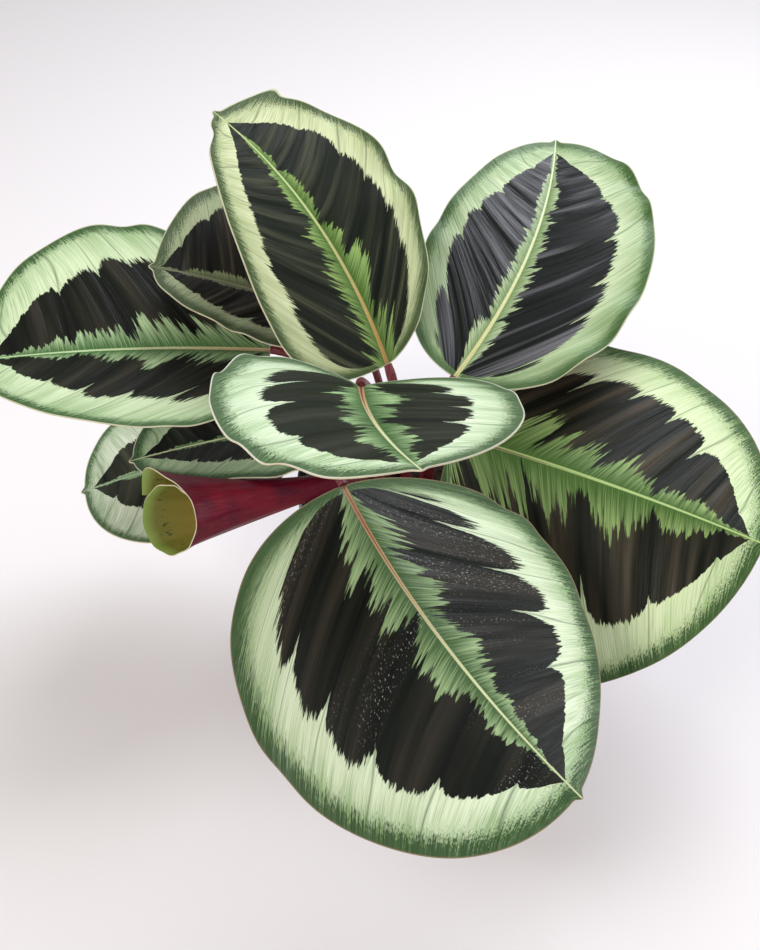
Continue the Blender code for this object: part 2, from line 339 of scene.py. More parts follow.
def distance_to_outline(leaf, s, t):
    """Distances to the margin, measured on the flattened blade."""
    rows = (1 - np.cos(np.linspace(0, math.pi, 161))) / 2
    result = np.full(len(s), 9.0)
    for side in (1.0, -1.0):
        here = t * side >= 0
        if not here.any():
            continue
        points = np.stack([s[here] * leaf["length"], np.abs(t[here]) * half_widths(leaf, s[here], t[here])], -1)
        line = np.stack([rows * leaf["length"], half_widths(leaf, rows, np.full(len(rows), side))], -1)
        line = np.vstack([[0, 0], line, [leaf["length"], 0]])
        starts, runs = line[:-1], line[1:] - line[:-1]
        offset = points[:, None] - starts[None]
        share = np.clip((offset * runs).sum(-1) / np.maximum((runs * runs).sum(-1), 1e-12), 0, 1)
        gap = np.linalg.norm(offset - share[..., None] * runs[None], axis=-1).min(axis=1)
        result[here] = np.minimum(result[here], gap)
    return result


# %% [markdown]
# ## From grid to blade
# A grid primitive is added, its corners are moved by the formula, and a Solidify modifier gives it the half
# millimetre of a real blade. Solidify also hands out materials: the upper skin, the burgundy underside and
# the thin pale rim each get a slot of their own.

# %% Grow a blade
BLADE_ROWS, BLADE_COLUMNS = 176, 88
BLADE_THICKNESS = 0.55 * MM
SIDE_SHIFT = 40  # veins, so that the two halves and the nine blades don't repeat each other


def write_uv(mesh, name, u, v):
    """Stores a UV map from one value for each corner of the faces."""
    layer = mesh.uv_layers.new(name=name)
    layer.data.foreach_set("uv", np.stack([u, v], -1).astype(np.float32).ravel())


def apply_modifiers(item):
    bpy.context.view_layer.objects.active = item
    for modifier in list(item.modifiers):
        bpy.ops.object.modifier_apply(modifier=modifier.name)


def grow_blade(name, leaf, number):
    start_clean()
    bpy.ops.mesh.primitive_grid_add(x_subdivisions=BLADE_ROWS, y_subdivisions=BLADE_COLUMNS, size=1)
    item = bpy.context.object
    item.name = "blade_" + name
    mesh = item.data
    mesh.name = item.name
    mesh.uv_layers.remove(mesh.uv_layers[0])
    flat = np.zeros(len(mesh.vertices) * 3)
    mesh.vertices.foreach_get("co", flat)
    flat = flat.reshape(-1, 3)
    s = (1 - np.cos(math.pi * np.clip(flat[:, 0] + 0.5, 0, 1))) / 2
    t = np.clip(flat[:, 1] * 2, -1, 1)
    mesh.vertices.foreach_set("co", blade_surface(leaf, s, t).ravel())
    corner = np.zeros(len(mesh.loops), int)
    mesh.loops.foreach_get("vertex_index", corner)
    owner = np.repeat(np.arange(len(mesh.polygons)), 4)
    middle = np.bincount(owner, t[corner]) / 4
    side = np.where(middle[owner] > 0, 1.0, -1.0)
    s, t = s[corner], np.abs(t[corner]) * side
    t = np.where(t == 0, side * 1e-6, t)
    reach = np.abs(t) * half_widths(leaf, s, t)
    shift = SIDE_SHIFT * (2 * number + (side > 0))
    write_uv(mesh, "vein", vein_numbers(leaf, s, t) + shift, np.abs(t))
    write_uv(mesh, "zone", reach / dark_reach(leaf, s, t), reach / feather_reach(leaf, s, t))
    write_uv(mesh, "rim", distance_to_outline(leaf, s, t) / MM / 10, reach / MM / 10)
    write_uv(mesh, "place", s, t)
    skin = item.modifiers.new("thickness", "SOLIDIFY")
    skin.thickness = BLADE_THICKNESS
    skin.offset = 0
    skin.material_offset = 1
    skin.material_offset_rim = 2
    return item


blades = {name: grow_blade(name, leaf, i) for i, (name, leaf) in enumerate(BLADES.items())}
print(len(blades), "blades of", BLADE_ROWS, "by", BLADE_COLUMNS, "faces")


# %% [markdown]
# ## The upper skin
# The upper side is living leaf under a thin wax, so it is a dielectric with a soft, fairly broad sheen. The
# pattern is built from the inside out. Each zone's edge is the zone coordinate pushed about by noise that is
# stretched along the veins, which gives the long fine teeth. Lobes come from a wave that counts the side
# veins, with a sharp notch at each vein. Each leaf gets its own mix of these, because leaves age differently:
# old ones turn browner and dusty, young ones are fresher and narrower in the margin.

# %% The looks of the nine blades
# The silver entry is painted sheen: a grey painted reflection of the lights, laid in streaks over the dark zone.
PLAIN_LOOK = {
    "dark": "#060d04", "brown": "#34301f", "brown_share": 0.55, "painted_sheen": "#77777c", "painted_sheen_share": 0.0,
    "feather": "#45652f", "gap": "#1c3016", "feather_tip": "#a9c58c", "feather_size": 0.85,
    "mint": "#dfecca", "streak": "#93b07a", "shade": 0.45, "margin": "#22431b", "margin_width": 0.6,
    "rim": "#c9cda6", "rib": "#cdd5a2", "rib_base": "#b7c58a", "rib_core": 0.0, "dust": 0.0,
    "rough": 0.42, "gloss": 0.2, "lobes": 1.0,
}
LOOKS = {
    "front": {"brown": "#38332a", "feather": "#3f5c31", "feather_tip": "#a3bd88", "feather_size": 0.8,
              "rib_base": "#a97b54", "rib_core": 0.9, "dust": 0.9, "rim": "#8f7a5e", "gloss": 0.3,
              "rough": 0.38, "margin_width": 0.8, "shade": 0.6, "lobes": 1.15},
    "right": {"dark": "#0e1409", "brown": "#474031", "brown_share": 0.8, "feather": "#48692e",
              "feather_tip": "#98b36e", "feather_size": 0.95, "mint": "#dcebbb", "streak": "#9cb97c",
              "margin": "#264a1c", "rib": "#b7cf86", "rib_base": "#a3c272", "rim": "#7d7a50",
              "margin_width": 0.75, "lobes": 1.4},
    "centre": {"dark": "#121a0c", "brown": "#33342a", "feather": "#3d5f30", "feather_tip": "#a3c28a",
               "feather_size": 0.85, "mint": "#dcebc9", "streak": "#8fae7a", "margin": "#34502b",
               "margin_width": 0.65, "shade": 0.35, "rim": "#dcddc9", "rib_base": "#bd8f68", "rib_core": 0.9,
               "lobes": 1.3},
    "back_left": {"dark": "#0b1406", "brown": "#363826", "painted_sheen": "#565843", "painted_sheen_share": 0.5,
                  "feather": "#466528", "feather_tip": "#8fab62", "feather_size": 0.7, "mint": "#d3d9ac",
                  "streak": "#98a673", "margin": "#28401b", "margin_width": 0.5, "rib": "#b3c485",
                  "rib_base": "#b18d55", "gloss": 0.15, "lobes": 0.3},
    "back_right": {"dark": "#0a0f09", "brown": "#26262a", "painted_sheen": "#8a8a8e", "painted_sheen_share": 0.6,
                   "feather": "#6b8450", "gap": "#2a3626", "feather_tip": "#b4c69c", "feather_size": 0.52,
                   "mint": "#c3d2a8", "streak": "#7f9b68", "shade": 0.6, "margin": "#375728", "margin_width": 0.55,
                   "rib": "#d3dcae", "rib_base": "#cbca8f", "rough": 0.3, "gloss": 0.28, "lobes": 0.8},
    "left": {"dark": "#0b0f07", "brown": "#37342a", "feather": "#446839", "feather_tip": "#b1cb9a",
             "feather_size": 0.8, "mint": "#d2e2b9", "streak": "#8cab76", "margin": "#2b4d25",
             "margin_width": 0.5, "rib": "#b9d3a0", "rib_base": "#b9a77e"},
    "upper_left": {"dark": "#0b0c06", "brown": "#3c382e", "painted_sheen": "#5e5a4e", "painted_sheen_share": 0.5,
                   "feather": "#4f5c3c", "feather_tip": "#848f6a", "feather_size": 0.35, "mint": "#b6c299",
                   "streak": "#8a9874", "margin": "#3a4d2e", "margin_width": 0.6, "rib": "#7c7a62",
                   "rib_base": "#7c7a62"},
    "low_left": {"dark": "#22271c", "brown": "#4c4f3e", "feather": "#4f7d4c", "feather_tip": "#a5c095",
                 "feather_size": 0.3, "mint": "#dbe6cd", "streak": "#9ab38c", "margin": "#3c5a34",
                 "margin_width": 0.4, "rib": "#a9b79a", "rib_base": "#a9b79a"},
    "under_left": {"dark": "#0d120a", "brown": "#2f362a", "feather": "#3b5c38", "feather_tip": "#86aa77",
                   "feather_size": 0.3, "mint": "#b9cfa8", "streak": "#779a6c", "margin": "#2a4a28",
                   "rim": "#e0d9c8"},
}
print(len(LOOKS), "looks")

# %% Noises that run along the veins
VEIN_NOISES = {
    # name: (repeats across one vein, repeats from midrib to margin, detail)
    "cloud": (0.9, 0.8, 1.0),
    "band": (3.0, 0.5, 3.0),
    "tooth": (13.0, 1.4, 2.0),
    "hair": (42.0, 2.6, 2.0),
    "fray": (17.0, 13.0, 3.0),
    "speck": (44.0, 34.0, 1.0),
    "dust": (34.0, 80.0, 1.5),
}


def vein_noises(tree, vein_map):
    """Noise nodes on the vein map, from broad clouds to hair-fine streaks. One vein is about 35 mm wide."""
    found = {}
    for name, (across, outward, detail) in VEIN_NOISES.items():
        place = add(tree, "ShaderNodeMapping", {0: vein_map, "Scale": (across, outward, 1)})
        found[name] = add(tree, "ShaderNodeTexNoise", {0: place, "Scale": 1.0, "Detail": detail,
                                                       "Roughness": 0.55})
    return found


# %% Masks of the zones
NOTCH_DEPTH, SHOULDER_DEPTH = 0.15, 0.06  # of the dark zone's reach
TOOTH_DEPTH, HAIR_DEPTH, FRAY_DEPTH, CLOUD_DEPTH = 0.034, 0.026, 0.03, 0.05


def lobe_wave(tree, vein, noises):
    """Distance from the nearest side vein: 1 on a vein, 0 midway between two."""
    wobble = add(tree, "ShaderNodeMapRange", {0: noises["cloud"], 1: 0.3, 2: 0.7, 3: -0.2, 4: 0.2})
    counted = add(tree, "ShaderNodeMath", {0: vein, 1: wobble}, operation="ADD")
    cell = add(tree, "ShaderNodeMath", {0: counted, 1: 0.5}, operation="PINGPONG")
    return add(tree, "ShaderNodeMath", {0: cell, 1: -2.0, 2: 1.0}, operation="MULTIPLY_ADD")


def dark_mask(tree, reach, wave, noises, lobes):
    """1 inside the dark zone, with lobes, notches on the veins, and fine teeth."""
    deep = add(tree, "ShaderNodeMapRange", {0: noises["cloud"], 1: 0.35, 2: 0.6, 3: 0.3, 4: 1.3})
    spike = add(tree, "ShaderNodeMath", {0: wave, 1: 9.0}, operation="POWER")
    notch = add(tree, "ShaderNodeMath", {0: spike, 1: deep}, operation="MULTIPLY")
    shoulder = add(tree, "ShaderNodeMath", {0: wave, 1: 2.2}, operation="POWER")
    edge = add(tree, "ShaderNodeMath", {0: notch, 1: NOTCH_DEPTH * lobes, 2: reach}, operation="MULTIPLY_ADD")
    edge = add(tree, "ShaderNodeMath", {0: shoulder, 1: SHOULDER_DEPTH * lobes, 2: edge}, operation="MULTIPLY_ADD")
    for name, depth in (("tooth", TOOTH_DEPTH), ("hair", HAIR_DEPTH), ("fray", FRAY_DEPTH),
                        ("cloud", CLOUD_DEPTH)):
        push = add(tree, "ShaderNodeMapRange", {0: noises[name], 1: 0.3, 2: 0.7, 3: -depth, 4: depth})
        edge = add(tree, "ShaderNodeMath", {0: edge, 1: push}, operation="ADD")
    return add(tree, "ShaderNodeMapRange", {0: edge, 1: 0.985, 2: 1.005, 3: 1.0, 4: 0.0})


def feather_mask(tree, reach, wave, noises, size):
    """1 inside the feathered middle: a tuft between each two veins, split into long teeth."""
    tongue = add(tree, "ShaderNodeMath", {0: wave, 1: 3.0}, operation="POWER")
    edge = add(tree, "ShaderNodeMath", {0: tongue, 1: 0.6 * size, 2: reach}, operation="MULTIPLY_ADD")
    for name, depth in (("tooth", 0.4), ("hair", 0.2), ("fray", 0.14), ("band", 0.3), ("cloud", 0.3)):
        push = add(tree, "ShaderNodeMapRange", {0: noises[name], 1: 0.3, 2: 0.7, 3: -depth * size,
                                                4: depth * size})
        edge = add(tree, "ShaderNodeMath", {0: edge, 1: push}, operation="ADD")
    return add(tree, "ShaderNodeMapRange", {0: edge, 1: 0.90 * size, 2: 1.02 * size, 3: 1.0, 4: 0.0})


# %% Upper skin material
def upper_skin(name, changes):
    look = {**PLAIN_LOOK, **changes}
    paint = {key: linear(value) for key, value in look.items() if isinstance(value, str)}
    material, tree = new_material("waxy calathea leaf, upper skin, " + name)
    vein_map = add(tree, "ShaderNodeUVMap", uv_map="vein")
    vein = add(tree, "ShaderNodeSeparateXYZ", {0: vein_map})
    zone = add(tree, "ShaderNodeSeparateXYZ", {0: add(tree, "ShaderNodeUVMap", uv_map="zone")})
    rim = add(tree, "ShaderNodeSeparateXYZ", {0: add(tree, "ShaderNodeUVMap", uv_map="rim")})
    place = add(tree, "ShaderNodeSeparateXYZ", {0: add(tree, "ShaderNodeUVMap", uv_map="place")})
    noises = vein_noises(tree, vein_map)
    wave = lobe_wave(tree, vein.outputs[0], noises)
    in_dark = dark_mask(tree, zone.outputs[0], wave, noises, look["lobes"])
    in_feather = feather_mask(tree, zone.outputs[1], wave, noises, look["feather_size"])

    # The dark zone: green-black along the veins and browner between them. On each vein lies a line of painted furrow
    # shade, and between the veins lie streaks of painted sheen, a painted grey reflection of the lights.
    between = add(tree, "ShaderNodeMapRange", {0: wave, 1: 0.25, 2: 0.85, 3: 1.0, 4: 0.15})
    brown_noise = add(tree, "ShaderNodeMapRange", {0: noises["band"], 1: 0.38, 2: 0.62, 3: 0.0,
                                                   4: look["brown_share"] * 1.3})
    brown = add(tree, "ShaderNodeMath", {0: between, 1: brown_noise}, operation="MULTIPLY", use_clamp=True)
    dark_colour = add(tree, "ShaderNodeMix", {0: brown, 6: paint["dark"], 7: paint["brown"]}, data_type="RGBA")
    # Painted shade: a near-black line down each vein, where the blade's furrow lies in shadow.
    painted_furrow_shade = add(tree, "ShaderNodeMapRange", {0: wave, 1: 0.88, 2: 1.0, 3: 0.0, 4: 0.8})
    dark_colour = add(tree, "ShaderNodeMix", {0: painted_furrow_shade, 6: dark_colour.outputs[2], 7: linear("#020402")},
                      data_type="RGBA")
    # Painted sheen: grey streaks that stand in for the lights' reflection in the wax between the veins.
    painted_sheen_mask = add(tree, "ShaderNodeMapRange", {0: noises["band"], 1: 0.52, 2: 0.68, 3: 0.0,
                                                    4: look["painted_sheen_share"]})
    dark_colour = add(tree, "ShaderNodeMix", {0: painted_sheen_mask, 6: dark_colour.outputs[2], 7: paint["painted_sheen"]},
                      data_type="RGBA")

    # The feathered middle: deep green at the midrib, pale at the teeth.
    paling = add(tree, "ShaderNodeMapRange", {0: zone.outputs[1], 1: 0.1 * look["feather_size"],
                                              2: look["feather_size"], 3: 0.0, 4: 0.8})
    paling_hair = add(tree, "ShaderNodeMapRange", {0: noises["hair"], 1: 0.35, 2: 0.65, 3: -0.3, 4: 0.3})
    paled = add(tree, "ShaderNodeMath", {0: paling, 1: paling_hair}, operation="ADD", use_clamp=True)
    feather_colour = add(tree, "ShaderNodeMix", {0: paled, 6: paint["feather"], 7: paint["feather_tip"]},
                         data_type="RGBA")
    gap_noise = add(tree, "ShaderNodeMapRange", {0: noises["tooth"], 1: 0.50, 2: 0.62, 3: 0.0, 4: 0.75})
    gap_reach = add(tree, "ShaderNodeMapRange", {0: zone.outputs[1], 1: 0.2, 2: 0.7, 3: 0.0, 4: 1.0})
    gap = add(tree, "ShaderNodeMath", {0: gap_noise, 1: gap_reach}, operation="MULTIPLY", use_clamp=True)
    feather_colour = add(tree, "ShaderNodeMix", {0: gap, 6: feather_colour.outputs[2], 7: paint["gap"]},
                         data_type="RGBA")

    # The mint band: palest next to the dark zone, with green hair streaks and a line of painted crease shadow on
    # each vein.
    outward = add(tree, "ShaderNodeMapRange", {0: rim.outputs[0], 1: 0.3, 2: 1.9, 3: look["shade"],
                                               4: -0.15})
    hair_streak = add(tree, "ShaderNodeMapRange", {0: noises["hair"], 1: 0.40, 2: 0.66, 3: 0.0, 4: 0.65})
    greener = add(tree, "ShaderNodeMapRange", {0: noises["band"], 1: 0.42, 2: 0.68, 3: -0.1, 4: 0.3})
    streaked = add(tree, "ShaderNodeMath", {0: hair_streak, 1: outward}, operation="ADD")
    streaked = add(tree, "ShaderNodeMath", {0: streaked, 1: greener}, operation="ADD", use_clamp=True)
    mint_colour = add(tree, "ShaderNodeMix", {0: streaked, 6: paint["mint"], 7: paint["streak"]},
                      data_type="RGBA")
    # Painted shadow: the margin's dark green along each vein stands in for the shade in the crease there.
    on_vein = add(tree, "ShaderNodeMapRange", {0: wave, 1: 0.94, 2: 1.0, 3: 0.0, 4: 0.6})
    mint_colour = add(tree, "ShaderNodeMix", {0: on_vein, 6: mint_colour.outputs[2], 7: paint["margin"]},
                      data_type="RGBA")

    # The margin: dark green that breaks up inwards into streaks and specks.
    width = look["margin_width"]
    ragged = add(tree, "ShaderNodeMapRange", {0: noises["hair"], 1: 0.3, 2: 0.7, 3: -0.45 * width,
                                              4: 0.45 * width})
    specked = add(tree, "ShaderNodeMapRange", {0: noises["speck"], 1: 0.3, 2: 0.7, 3: -0.3 * width,
                                               4: 0.3 * width})
    margin_reach = add(tree, "ShaderNodeMath", {0: rim.outputs[0], 1: ragged}, operation="ADD")
    margin_reach = add(tree, "ShaderNodeMath", {0: margin_reach, 1: specked}, operation="ADD")
    in_margin = add(tree, "ShaderNodeMapRange", {0: margin_reach, 1: 0.55 * width, 2: 1.15 * width, 3: 0.95,
                                                 4: 0.0})
    margin_light = add(tree, "ShaderNodeMix", {0: 0.3, 6: paint["margin"], 7: paint["streak"]},
                       data_type="RGBA")
    margin_colour = add(tree, "ShaderNodeMix", {0: hair_streak, 6: paint["margin"], 7: margin_light.outputs[2]},
                        data_type="RGBA")

    # Stack the zones from the outside in, then the midrib and the rim line.
    stack = add(tree, "ShaderNodeMix", {0: in_margin, 6: mint_colour.outputs[2], 7: margin_colour.outputs[2]},
                data_type="RGBA")
    stack = add(tree, "ShaderNodeMix", {0: in_dark, 6: stack.outputs[2], 7: dark_colour.outputs[2]},
                data_type="RGBA")
    stack = add(tree, "ShaderNodeMix", {0: in_feather, 6: stack.outputs[2], 7: feather_colour.outputs[2]},
                data_type="RGBA")
    dust_patch = add(tree, "ShaderNodeMapRange", {0: noises["cloud"], 1: 0.48, 2: 0.58, 3: 0.0,
                                                  4: look["dust"]})
    dust_speck = add(tree, "ShaderNodeMapRange", {0: noises["dust"], 1: 0.62, 2: 0.70, 3: 0.0, 4: 0.75})
    dust_streak = add(tree, "ShaderNodeMapRange", {0: noises["band"], 1: 0.45, 2: 0.6, 3: 0.08, 4: 1.0})
    dusty = add(tree, "ShaderNodeMath", {0: dust_patch, 1: dust_speck}, operation="MULTIPLY")
    dusty = add(tree, "ShaderNodeMath", {0: dusty, 1: dust_streak}, operation="MULTIPLY")
    stack = add(tree, "ShaderNodeMix", {0: dusty, 6: stack.outputs[2], 7: linear("#c9c6bd")}, data_type="RGBA")
    rib_width = add(tree, "ShaderNodeMapRange", {0: place.outputs[0], 1: 0.0, 2: 1.0, 3: -0.12, 4: -0.03})
    rib_gap = add(tree, "ShaderNodeMath", {0: rim.outputs[1], 1: rib_width}, operation="ADD")
    in_rib = add(tree, "ShaderNodeMapRange", {0: rib_gap, 1: -0.02, 2: 0.02, 3: 1.0, 4: 0.0})
    rib_fade = add(tree, "ShaderNodeMapRange", {0: place.outputs[0], 1: 0.1, 2: 0.65, 3: 0.0, 4: 1.0})
    rib_colour = add(tree, "ShaderNodeMix", {0: rib_fade, 6: paint["rib_base"], 7: paint["rib"]},
                     data_type="RGBA")
    core_width = add(tree, "ShaderNodeMapRange", {0: place.outputs[0], 1: 0.0, 2: 0.6, 3: -0.045, 4: 0.02})
    core_gap = add(tree, "ShaderNodeMath", {0: rim.outputs[1], 1: core_width}, operation="ADD")
    in_core = add(tree, "ShaderNodeMapRange", {0: core_gap, 1: -0.01, 2: 0.015, 3: look["rib_core"], 4: 0.0})
    rib_colour = add(tree, "ShaderNodeMix", {0: in_core, 6: rib_colour.outputs[2], 7: linear("#6a2f28")},
                     data_type="RGBA")
    stack = add(tree, "ShaderNodeMix", {0: in_rib, 6: stack.outputs[2], 7: rib_colour.outputs[2]},
                data_type="RGBA")
    in_rim = add(tree, "ShaderNodeMapRange", {0: rim.outputs[0], 1: 0.03, 2: 0.06, 3: 0.8, 4: 0.0})
    stack = add(tree, "ShaderNodeMix", {0: in_rim, 6: stack.outputs[2], 7: paint["rim"]}, data_type="RGBA")

    # Fine parallel veins stand up by a tenth of a millimetre or so and catch the light.
    ridge = add(tree, "ShaderNodeMath", {0: noises["band"], 1: 1.5, 2: noises["tooth"]},
                operation="MULTIPLY_ADD")
    ridge = add(tree, "ShaderNodeMath", {0: noises["hair"], 1: 0.4, 2: ridge}, operation="MULTIPLY_ADD")
    bump = add(tree, "ShaderNodeBump", {"Height": ridge, "Strength": 0.5, "Distance": 0.0008})
    rough = add(tree, "ShaderNodeMapRange", {0: noises["tooth"], 1: 0.3, 2: 0.7, 3: look["rough"] - 0.05,
                                             4: look["rough"] + 0.09})
    shader = add(tree, "ShaderNodeBsdfPrincipled",
                 {"Base Color": stack.outputs[2], "Roughness": rough, "Normal": bump, "IOR": 1.45,
                  "Specular IOR Level": look["gloss"]})
    return close_material(material, shader)


for name, item in blades.items():
    item.data.materials.append(upper_skin(name, LOOKS[name]))
print(len(LOOKS), "upper skins")


# %% [markdown]
# ## Underside and rim
# Below, a calathea leaf is burgundy, duller than the top, with the side veins showing as paler ribs. The rim
# is a thin line of pale, nearly clear tissue.

# %% Underside and rim materials
def underside():
    material, tree = new_material("matt calathea leaf, underside")
    vein_map = add(tree, "ShaderNodeUVMap", uv_map="vein")
    vein = add(tree, "ShaderNodeSeparateXYZ", {0: vein_map})
    rim = add(tree, "ShaderNodeSeparateXYZ", {0: add(tree, "ShaderNodeUVMap", uv_map="rim")})
    place = add(tree, "ShaderNodeMapping", {0: vein_map, "Scale": (14, 2.0, 1)})
    grain = add(tree, "ShaderNodeTexNoise", {0: place, "Scale": 1.0, "Detail": 2.0})
    tone = add(tree, "ShaderNodeMix", {0: grain, 6: linear("#4a1a2a"), 7: linear("#6e2c40")}, data_type="RGBA")
    cell = add(tree, "ShaderNodeMath", {0: vein.outputs[0], 1: 0.5}, operation="PINGPONG")
    on_vein = add(tree, "ShaderNodeMapRange", {0: cell, 1: 0.0, 2: 0.05, 3: 0.5, 4: 0.0})
    veined = add(tree, "ShaderNodeMix", {0: on_vein, 6: tone.outputs[2], 7: linear("#8a4a52")}, data_type="RGBA")
    in_rib = add(tree, "ShaderNodeMapRange", {0: rim.outputs[1], 1: 0.12, 2: 0.22, 3: 1.0, 4: 0.0})
    ribbed = add(tree, "ShaderNodeMix", {0: in_rib, 6: veined.outputs[2], 7: linear("#7f8a56")},
                 data_type="RGBA")
    in_edge = add(tree, "ShaderNodeMapRange", {0: rim.outputs[0], 1: 0.3, 2: 0.9, 3: 0.7, 4: 0.0})
    edged = add(tree, "ShaderNodeMix", {0: in_edge, 6: ribbed.outputs[2], 7: linear("#5c6a45")},
                data_type="RGBA")
    bump = add(tree, "ShaderNodeBump", {"Height": grain, "Strength": 0.3, "Distance": 0.0006})
    return close_material(material, add(tree, "ShaderNodeBsdfPrincipled",
                                        {"Base Color": edged.outputs[2], "Roughness": 0.5, "Normal": bump}))


def rim_tissue():
    material, tree = new_material("pale leaf rim")
    place = add(tree, "ShaderNodeTexCoord")
    grain = add(tree, "ShaderNodeTexNoise", {0: place.outputs["Object"], "Scale": 180.0, "Detail": 1.0})
    tone = add(tree, "ShaderNodeMix", {0: grain, 6: linear("#b9a58a"), 7: linear("#dcd8b8")}, data_type="RGBA")
    return close_material(material, add(tree, "ShaderNodeBsdfPrincipled",
                                        {"Base Color": tone.outputs[2], "Roughness": 0.45}))


def rib_skin():
    material, tree = new_material("calathea midrib, underside")
    place = add(tree, "ShaderNodeTexCoord")
    grain = add(tree, "ShaderNodeTexNoise", {0: place.outputs["Object"], "Scale": 160.0, "Detail": 3.0})
    tone = add(tree, "ShaderNodeMix", {0: grain, 6: linear("#7a3a44"), 7: linear("#8f8a5c")}, data_type="RGBA")
    return close_material(material, add(tree, "ShaderNodeBsdfPrincipled",
                                        {"Base Color": tone.outputs[2], "Roughness": 0.45}))


leaf_underside, leaf_rim, leaf_rib = underside(), rim_tissue(), rib_skin()


def settle(item, node):
    """Finishes a piece: modifiers applied, smooth, on the plant's body, standing for a CAD node."""
    start_clean()
    item.select_set(True)
    apply_modifiers(item)
    bpy.ops.object.shade_smooth_by_angle(angle=math.radians(40))
    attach(item, "root")
    if node:
        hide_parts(node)
    low = np.array([v.co for v in item.data.vertices]).min(0)
    high = np.array([v.co for v in item.data.vertices]).max(0)
    if node:
        near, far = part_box(node)
        drift = max(np.abs(low - np.array(near)).max(), np.abs(high - np.array(far)).max())
        print(f"{item.name}: {len(item.data.polygons)} faces, box within {drift / MM:.1f} mm of its solid")
    return item



# %% [markdown]
# ## The rib below each blade
# Under every blade the midrib stands out as a firm round rib that thins towards the tip. It is a curve with a
# round bevel, turned into a mesh and joined to the blade.

# %% Rib tubes
RIB_ROWS = 40
RIB_RADIUS, RIB_TIP_RADIUS = 1.7 * MM, 0.35 * MM
RIB_END = 0.9  # of the midrib
TUBE_SIDES = 12


def tube(name, points, radii):
    """A round tube through points, as a mesh, capped at both ends."""
    start_clean()
    bpy.ops.curve.primitive_bezier_curve_add()
    item = bpy.context.object
    item.name = name
    curve = item.data
    curve.splines.clear()
    curve.bevel_depth = 1.0
    curve.bevel_resolution = (TUBE_SIDES - 4) // 2
    curve.use_fill_caps = True
    spline = curve.splines.new("POLY")
    spline.points.add(len(points) - 1)
    for knot, point, radius in zip(spline.points, points, radii):
        knot.co = (*point, 1)
        knot.radius = radius
    bpy.ops.object.convert(target="MESH")
    item = bpy.context.object
    bpy.ops.object.mode_set(mode="EDIT")
    bpy.ops.mesh.select_all(action="SELECT")
    bpy.ops.mesh.remove_doubles(threshold=0.00001)
    bpy.ops.mesh.normals_make_consistent(inside=False)
    bpy.ops.object.mode_set(mode="OBJECT")
    return item


def add_rib(item, leaf):
    s = np.linspace(0.0, RIB_END, RIB_ROWS)
    radii = RIB_RADIUS + (RIB_TIP_RADIUS - RIB_RADIUS) * (s / RIB_END) ** 0.8
    middle = blade_surface(leaf, np.maximum(s, 1e-6), np.zeros(len(s)))
    along = midrib_directions(leaf, s)
    level = np.stack([-along[:, 1], along[:, 0], np.zeros(len(s))], axis=-1)
    face = np.cross(along, level / np.linalg.norm(level, axis=1, keepdims=True))
    sunk = middle - face * (radii * 0.8)[:, None]
    rib = tube("rib", sunk, radii)
    rib.data.materials.append(leaf_rib)
    start_clean()
    rib.select_set(True)
    item.select_set(True)
    bpy.context.view_layer.objects.active = item
    bpy.ops.object.join()


for name, item in blades.items():
    start_clean()
    for skin in (leaf_underside, leaf_rim):
        item.data.materials.append(skin)
    apply_modifiers(item)
    add_rib(item, BLADES[name])
    settle(item, "leaf_" + name)

# %% [markdown]
# ## The rolled leaf
# The newest leaf hasn't opened. It is one sheet wound one and a half turns into a cone, with its green upper
# side hidden inside and its crimson underside out, and its free edge stands away from the cone at the mouth.
# A grid bent by a formula is again the honest way to make it, as it really is a flat leaf that is rolled up.

# %% Roll up the youngest leaf
ROLL_BASE = np.array((-36, -22, 139)) * MM
ROLL_HEADING, ROLL_RISE = 208, 11
ROLL_LENGTH = 95 * MM
ROLL_NECK_RADIUS, ROLL_MOUTH_RADIUS = 5 * MM, 17 * MM
ROLL_TURNS, ROLL_TURN_SPACING = 1.5, 1.2 * MM
ROLL_FLARE = 1.2
ROLL_SEAM_ANGLE = 180
FLAP_PLACE, FLAP_SHARE, FLAP_LIFT, FLAP_LENGTH = 0.09, 0.075, 9 * MM, 3 * MM
INNER_SHORT = 0.12  # of the length, by which the hidden inner turn stops short of the mouth
MOUTH_SLANT, MOUTH_SLANT_ANGLE = 8 * MM, 47
LIP_CURL = 1.6 * MM


